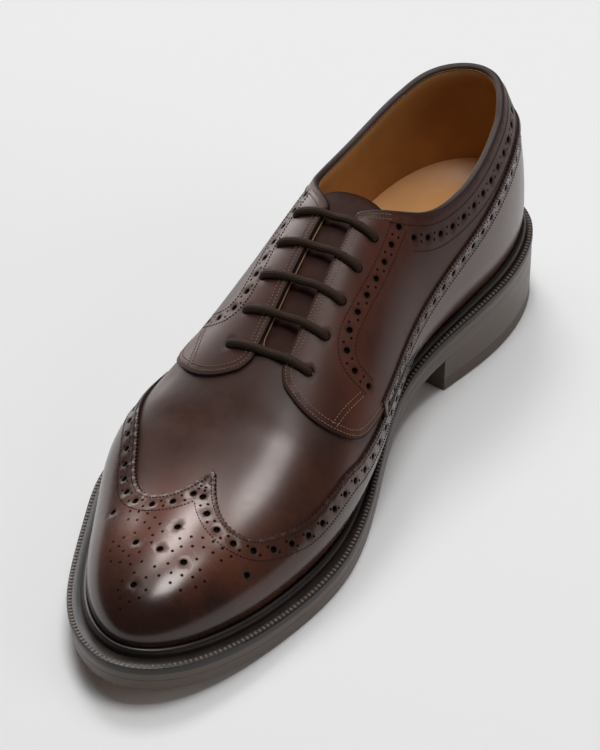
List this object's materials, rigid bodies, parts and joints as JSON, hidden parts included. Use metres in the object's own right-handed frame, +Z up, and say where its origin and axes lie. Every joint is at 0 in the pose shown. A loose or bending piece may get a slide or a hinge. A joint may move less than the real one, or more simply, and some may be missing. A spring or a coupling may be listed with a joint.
{
  "type": "brogue derby shoe",
  "caption": "Low leather lace-up shoe with a winged toe panel, open facings, a storm welt, a double sole and a stacked heel.",
  "frame": {"origin": "on the floor, under the middle of the sole edge's box", "axes": "+Z up from the floor, -Y towards the toe, +X towards the medial side of this right shoe"},
  "size_m": [0.1123, 0.3076, 0.105],
  "materials": {
    "sole_leather": "satin",
    "sole_edge": "waxed",
    "welt": "waxed",
    "heel_leather": "waxed",
    "top_piece": "matt",
    "insole_leather": "satin",
    "vamp_leather": "polished",
    "wing_leather": "polished",
    "counter_leather": "polished",
    "quarter_leather": "polished",
    "tongue_leather": "satin",
    "lace": "matt"
  },
  "bodies": {
    "root": {"outsole": "sole_leather", "midsole": "sole_edge", "welt": "welt", "heel_stack": "heel_leather", "heel_top_piece": "top_piece", "insole": "insole_leather", "upper": "vamp_leather", "wing_tip": "wing_leather", "counter": "counter_leather", "quarter_lateral": "quarter_leather", "quarter_medial": "quarter_leather", "tongue": "tongue_leather", "lace_bar_1": "lace", "lace_bar_2": "lace", "lace_bar_3": "lace", "lace_bar_4": "lace", "lace_bar_5": "lace"}
  },
  "joints": []
}
